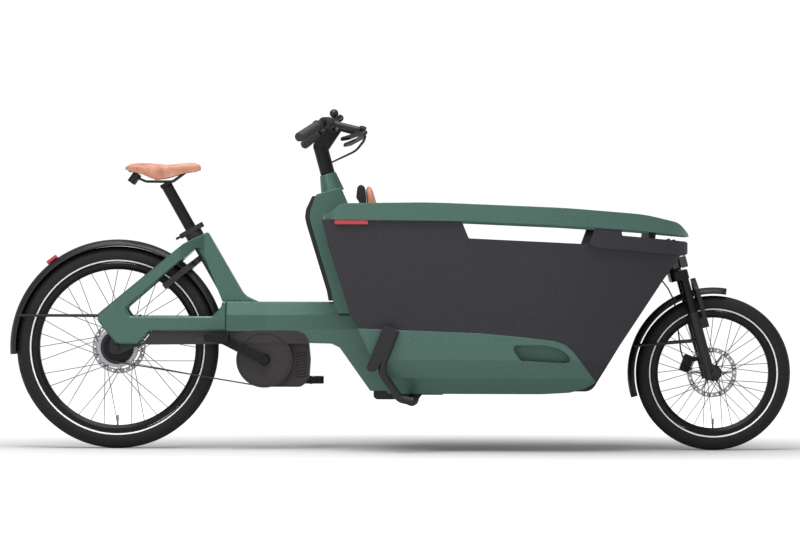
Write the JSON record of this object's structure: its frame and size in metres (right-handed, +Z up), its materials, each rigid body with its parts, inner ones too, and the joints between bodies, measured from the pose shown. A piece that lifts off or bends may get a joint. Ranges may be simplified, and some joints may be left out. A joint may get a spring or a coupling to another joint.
{
  "type": "cargo bicycle",
  "caption": "Front-loading cargo bicycle with a deep open box, a bench inside, a low beam frame, a mid motor with belt drive and a suspension fork.",
  "frame": {"origin": "on the ground under the middle of the length and width, wheels standing on the ground", "axes": "+X forwards along the bicycle, +Y to the rider's left, +Z up"},
  "size_m": [2.628, 0.7242, 1.1409],
  "materials": {
    "frame_paint": "satin green paint",
    "green_panel": "satin green",
    "black_metal": "satin black",
    "black_alloy": "black anodised",
    "spoke_steel": "black",
    "steel": "brushed",
    "wall_panel": "fine moulded texture",
    "black_plastic": "matte",
    "drive_plastic": "fine matte",
    "tyre_rubber": "matte with a pale side stripe",
    "rubber": "matte",
    "tan_leather": "smooth tan",
    "red_lens": "clear red",
    "lamp_body": "gloss black"
  },
  "bodies": {
    "frame": {"main_beam": "frame_paint", "seat_tube": "frame_paint", "rear_stays": "frame_paint", "floor_frame": "black_metal", "steering_bearings": "steel", "tower_shell": "frame_paint", "tower_rear_cover": "black_plastic", "motor_unit": "drive_plastic", "belt_guard": "drive_plastic", "drive_belt": "rubber", "battery": "black_plastic", "box_sides": "wall_panel", "box_end_panels": "wall_panel", "box_floor": "wall_panel", "box_rim": "green_panel", "front_bumper": "wall_panel", "skirts": "green_panel", "red_lamps": "red_lens", "headlight": "lamp_body", "bench_base": "black_plastic", "backrest_cushions": "tan_leather", "rear_fender": "black_plastic", "seat_clamp": "black_metal", "ring_lock": "black_plastic", "stand_bracket": "black_metal", "rear_axle": "black_metal", "rear_caliper": "black_alloy"},
    "steering": {"steering_column": "black_alloy", "handlebar": "black_alloy", "grips": "rubber", "bar_controls": "black_plastic", "bar_hoses": "rubber"},
    "twist_shifter": {"twist_shifter": "rubber"},
    "brake_lever_right": {"brake_lever_right": "black_alloy"},
    "brake_lever_left": {"brake_lever_left": "black_alloy"},
    "fork_upper": {"fork_crown": "black_metal"},
    "fork_lower": {"fork_lowers": "black_metal", "front_fender": "black_plastic", "front_caliper": "black_alloy", "front_hose": "rubber"},
    "front_wheel": {"front_tyre": "tyre_rubber", "front_rim": "black_alloy", "front_spokes": "spoke_steel", "front_hub": "black_alloy"},
    "rear_wheel": {"rear_tyre": "tyre_rubber", "rear_rim": "black_alloy", "rear_spokes": "spoke_steel", "rear_hub": "black_alloy"},
    "crank": {"crank_arms": "black_alloy", "front_pulley": "black_alloy"},
    "pedal_right": {"pedal_right": "black_alloy"},
    "pedal_left": {"pedal_left": "black_alloy"},
    "rear_pulley": {"rear_pulley": "black_alloy"},
    "stand": {"stand": "black_metal"},
    "saddle": {"seatpost": "black_alloy", "saddle_cover": "tan_leather", "saddle_chassis": "black_plastic"},
    "bench_lid": {"bench_lid": "black_plastic", "seat_cushion": "tan_leather"},
    "lock_shackle": {"lock_shackle": "black_metal"}
  },
  "joints": [
    {"name": "fork_steer", "type": "hinge", "parent": "frame", "child": "fork_upper", "pos_m": [0.92398, 0, 0.59897], "axis": [-0.2622, 0, 0.965], "range_deg": [-45, 45]},
    {"name": "handlebar_steer", "type": "hinge", "parent": "frame", "child": "steering", "pos_m": [-0.247, 0, 0.93], "axis": [-0.2622, 0, 0.965], "range_deg": [-45, 45]},
    {"name": "fork_travel", "type": "slide", "parent": "fork_upper", "child": "fork_lower", "axis": [-0.2622, 0, 0.965], "range_m": [0, 0.03], "stiffness_N_per_m": 9000, "springref_m": -0.03, "deforming": ["front_hose"]},
    {"name": "front_wheel_spin", "type": "hinge", "parent": "fork_lower", "child": "front_wheel", "pos_m": [1.054, 0, 0.26], "axis": [0, 1, 0], "continuous": true},
    {"name": "rear_wheel_spin", "type": "hinge", "parent": "frame", "child": "rear_wheel", "pos_m": [-0.951, 0, 0.34], "axis": [0, 1, 0], "continuous": true},
    {"name": "crank_spin", "type": "hinge", "parent": "frame", "child": "crank", "pos_m": [-0.4556, 0, 0.301], "axis": [0, 1, 0], "continuous": true},
    {"name": "rear_pulley_spin", "type": "hinge", "parent": "frame", "child": "rear_pulley", "pos_m": [-0.951, 0, 0.34], "axis": [0, 1, 0], "continuous": true},
    {"name": "pedal_right_spin", "type": "hinge", "parent": "crank", "child": "pedal_right", "pos_m": [-0.60891, 0, 0.37445], "axis": [0, 1, 0], "continuous": true},
    {"name": "pedal_left_spin", "type": "hinge", "parent": "crank", "child": "pedal_left", "pos_m": [-0.30229, 0, 0.22754], "axis": [0, 1, 0], "continuous": true},
    {"name": "seatpost_slide", "type": "slide", "parent": "frame", "child": "saddle", "axis": [-0.4924, 0, 0.8704], "range_m": [-0.1, 0.08]},
    {"name": "stand_fold", "type": "hinge", "parent": "frame", "child": "stand", "pos_m": [0.039, 0, 0.171], "axis": [0, -1, 0], "range_deg": [0, 98]},
    {"name": "bench_lid_fold", "type": "hinge", "parent": "frame", "child": "bench_lid", "pos_m": [0.245, 0, 0.44], "axis": [0, 1, 0], "range_deg": [0, 80]},
    {"name": "brake_lever_right_pull", "type": "hinge", "parent": "steering", "child": "brake_lever_right", "pos_m": [-0.128, -0.178, 1.066], "axis": [-0.2016, 0.3701, -0.9069], "range_deg": [0, 18], "stiffness_Nm_per_rad": 2, "springref_deg": -11.46},
    {"name": "brake_lever_left_pull", "type": "hinge", "parent": "steering", "child": "brake_lever_left", "pos_m": [-0.128, 0.178, 1.066], "axis": [0.2016, 0.3701, 0.9069], "range_deg": [0, 18], "stiffness_Nm_per_rad": 2, "springref_deg": -11.46},
    {"name": "shifter_twist", "type": "hinge", "parent": "steering", "child": "twist_shifter", "pos_m": [-0.264, -0.218, 1.088], "axis": [0.4054, 0.9122, 0.0591], "range_deg": [-30, 30]},
    {"name": "lock_close", "type": "hinge", "parent": "frame", "child": "lock_shackle", "pos_m": [-0.751, 0, 0.577], "axis": [-0.6361, 0, 0.7716], "range_deg": [0, 125]}
  ],
  "couplings": [
    {"joint": "handlebar_steer", "follows": "fork_steer", "ratio": 1},
    {"joint": "rear_pulley_spin", "follows": "crank_spin", "ratio": 1.9231}
  ]
}
